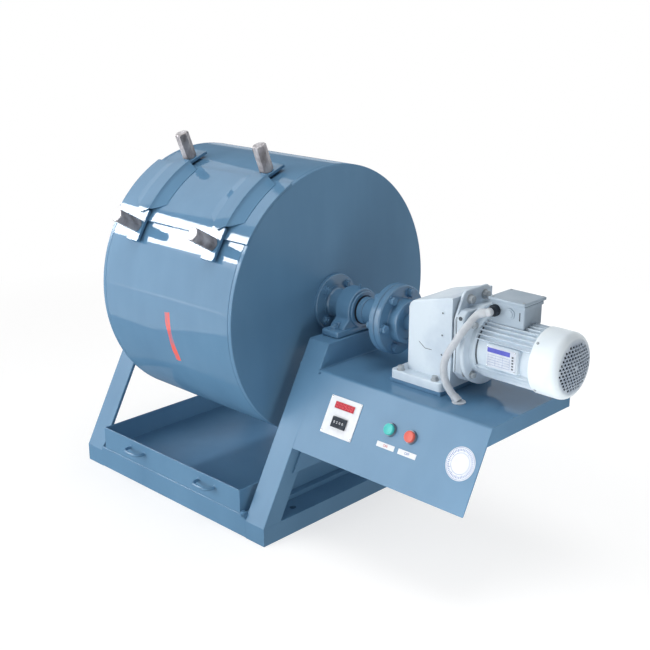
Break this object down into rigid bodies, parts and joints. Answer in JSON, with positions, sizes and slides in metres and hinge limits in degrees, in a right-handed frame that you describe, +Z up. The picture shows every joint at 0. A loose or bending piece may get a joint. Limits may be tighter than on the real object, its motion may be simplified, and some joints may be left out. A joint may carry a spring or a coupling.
{
  "type": "drum abrasion testing machine",
  "caption": "Steel drum turning on pedestal bearings over a pull-out tray, driven by a geared motor on a side platform with a control panel.",
  "frame": {"origin": "on the floor below the middle of the drum, which is the centre of the four floor anchor holes", "axes": "+X along the drum shaft towards the motor, -Y towards the front with the tray handles and the control panel, +Z up"},
  "size_m": [1.4115, 0.7865, 0.9768],
  "materials": {
    "blue_paint": "glossy blue-grey enamel",
    "drive_paint": "semi-gloss light grey enamel",
    "cowl_paint": "satin silver-grey enamel",
    "nut_steel": "turned steel, slightly tarnished",
    "bright_steel": "bright steel",
    "white_plate": "white plate",
    "red_window": "clear red window",
    "black_plastic": "matt black plastic",
    "green_button": "green plastic",
    "red_button": "red plastic",
    "grey_conduit": "ribbed light grey conduit"
  },
  "bodies": {
    "frame": {"base_beam_left": "blue_paint", "base_beam_right": "blue_paint", "base_rail_front": "blue_paint", "base_rail_back": "blue_paint", "leg_left_front": "blue_paint", "leg_left_back": "blue_paint", "leg_right_front": "blue_paint", "leg_right_back": "blue_paint", "seat_left": "blue_paint", "seat_right": "blue_paint", "tray_runners": "blue_paint", "motor_platform": "blue_paint", "control_panel": "blue_paint", "panel_gusset": "blue_paint", "counter_plate": "white_plate", "counter_display": "red_window", "counter_preset": "black_plastic", "label_plates": "white_plate", "badge_disc": "white_plate", "button_bezels": "bright_steel", "bearing_left": "blue_paint", "bearing_right": "blue_paint", "gearbox_packing": "blue_paint", "gearbox_case": "drive_paint", "adapter_case": "drive_paint", "motor_flange": "drive_paint", "motor_body": "drive_paint", "fan_cowl": "cowl_paint", "terminal_box": "drive_paint", "terminal_lid": "drive_paint", "conduit_glands": "black_plastic", "motor_conduit": "grey_conduit"},
    "drum": {"drum_shell": "blue_paint", "drum_end_left": "blue_paint", "drum_end_right": "blue_paint", "drum_shelf": "blue_paint", "stub_shaft_left": "blue_paint", "stub_shaft_right": "blue_paint", "coupling_drum_half": "blue_paint", "coupling_gear_half": "blue_paint", "cover_plate": "blue_paint", "clamp_bars": "blue_paint", "clamp_studs": "nut_steel", "clamp_nuts": "nut_steel"},
    "tray": {"tray_pan": "blue_paint", "tray_handles": "bright_steel"},
    "start_push": {"start_button": "green_button"},
    "stop_push": {"stop_button": "red_button"}
  },
  "joints": [
    {"name": "drum_turn", "type": "hinge", "parent": "frame", "child": "drum", "pos_m": [0, 0, 0.545], "axis": [1, 0, 0], "continuous": true},
    {"name": "tray_slide", "type": "slide", "parent": "frame", "child": "tray", "axis": [0, -1, 0], "range_m": [0, 0.6]},
    {"name": "start_press", "type": "slide", "parent": "frame", "child": "start_push", "axis": [0, 0.879, -0.4767], "range_m": [0, 0.004], "stiffness_N_per_m": 400},
    {"name": "stop_press", "type": "slide", "parent": "frame", "child": "stop_push", "axis": [0, 0.879, -0.4767], "range_m": [0, 0.004], "stiffness_N_per_m": 400}
  ]
}
